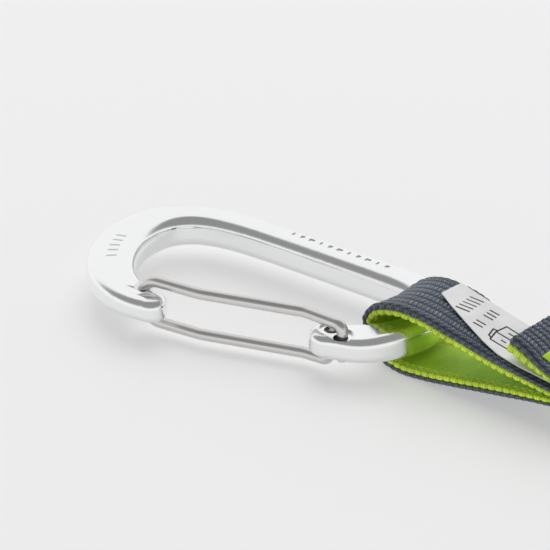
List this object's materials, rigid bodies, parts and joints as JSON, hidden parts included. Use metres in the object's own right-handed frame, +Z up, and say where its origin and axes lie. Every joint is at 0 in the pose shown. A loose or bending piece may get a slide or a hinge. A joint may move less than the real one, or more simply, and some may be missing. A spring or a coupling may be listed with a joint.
{
  "type": "climbing quickdraw",
  "caption": "Climbing quickdraw: two bent-wire-gate carabiners joined by a sewn two-colour webbing sling, lying flat with both gates closed.",
  "frame": {"origin": "centre of the bounding box on the floor the quickdraw lies on", "axes": "+X along the sling from the bolt-end carabiner to the rope-end carabiner, +Z up through the thickness of both carabiners, gates on the -Y side"},
  "size_m": [0.2814, 0.054, 0.0182],
  "materials": {
    "forged_aluminium": "polished",
    "gate_wire": "drawn stainless wire",
    "sling_webbing": "woven slate outside, lime inside",
    "label_tape": "white woven tape",
    "lime_thread": "bar-tack thread",
    "keeper_rubber": "matte moulded"
  },
  "bodies": {
    "sling_bolt_half": {"sling_bolt_eye_webbing": "sling_webbing", "sling_overlap_end_webbing": "sling_webbing", "sling_label": "label_tape", "bolt_bar_tacks": "lime_thread"},
    "sling_rope_half": {"sling_rope_eye_webbing": "sling_webbing", "rope_bar_tacks": "lime_thread", "rope_end_keeper": "keeper_rubber"},
    "bolt_carabiner": {"bolt_carabiner_body": "forged_aluminium"},
    "bolt_gate": {"bolt_gate_wire": "gate_wire"},
    "rope_carabiner": {"rope_carabiner_body": "forged_aluminium"},
    "rope_gate": {"rope_gate_wire": "gate_wire"}
  },
  "joints": [
    {"name": "sling_flex", "type": "hinge", "parent": "sling_bolt_half", "child": "sling_rope_half", "pos_m": [0, 0.00967, 0.01017], "axis": [0, 1, 0], "range_deg": [-45, 45], "stiffness_Nm_per_rad": 0.3},
    {"name": "bolt_carabiner_swing", "type": "hinge", "parent": "sling_bolt_half", "child": "bolt_carabiner", "pos_m": [-0.0493, 0.00967, 0.00887], "axis": [0, 1, 0], "range_deg": [-15, 15]},
    {"name": "bolt_gate_open", "type": "hinge", "parent": "bolt_carabiner", "child": "bolt_gate", "pos_m": [-0.0616, -0.00888, 0.00887], "axis": [0, 0, -1], "range_deg": [0, 28], "stiffness_Nm_per_rad": 0.5, "springref_deg": -22.92},
    {"name": "rope_carabiner_swing", "type": "hinge", "parent": "sling_rope_half", "child": "rope_carabiner", "pos_m": [0.0493, 0.00967, 0.00887], "axis": [0, 1, 0], "range_deg": [-5, 5]},
    {"name": "rope_gate_open", "type": "hinge", "parent": "rope_carabiner", "child": "rope_gate", "pos_m": [0.0616, -0.00888, 0.00887], "axis": [0, 0, 1], "range_deg": [0, 28], "stiffness_Nm_per_rad": 0.5, "springref_deg": -22.92}
  ]
}
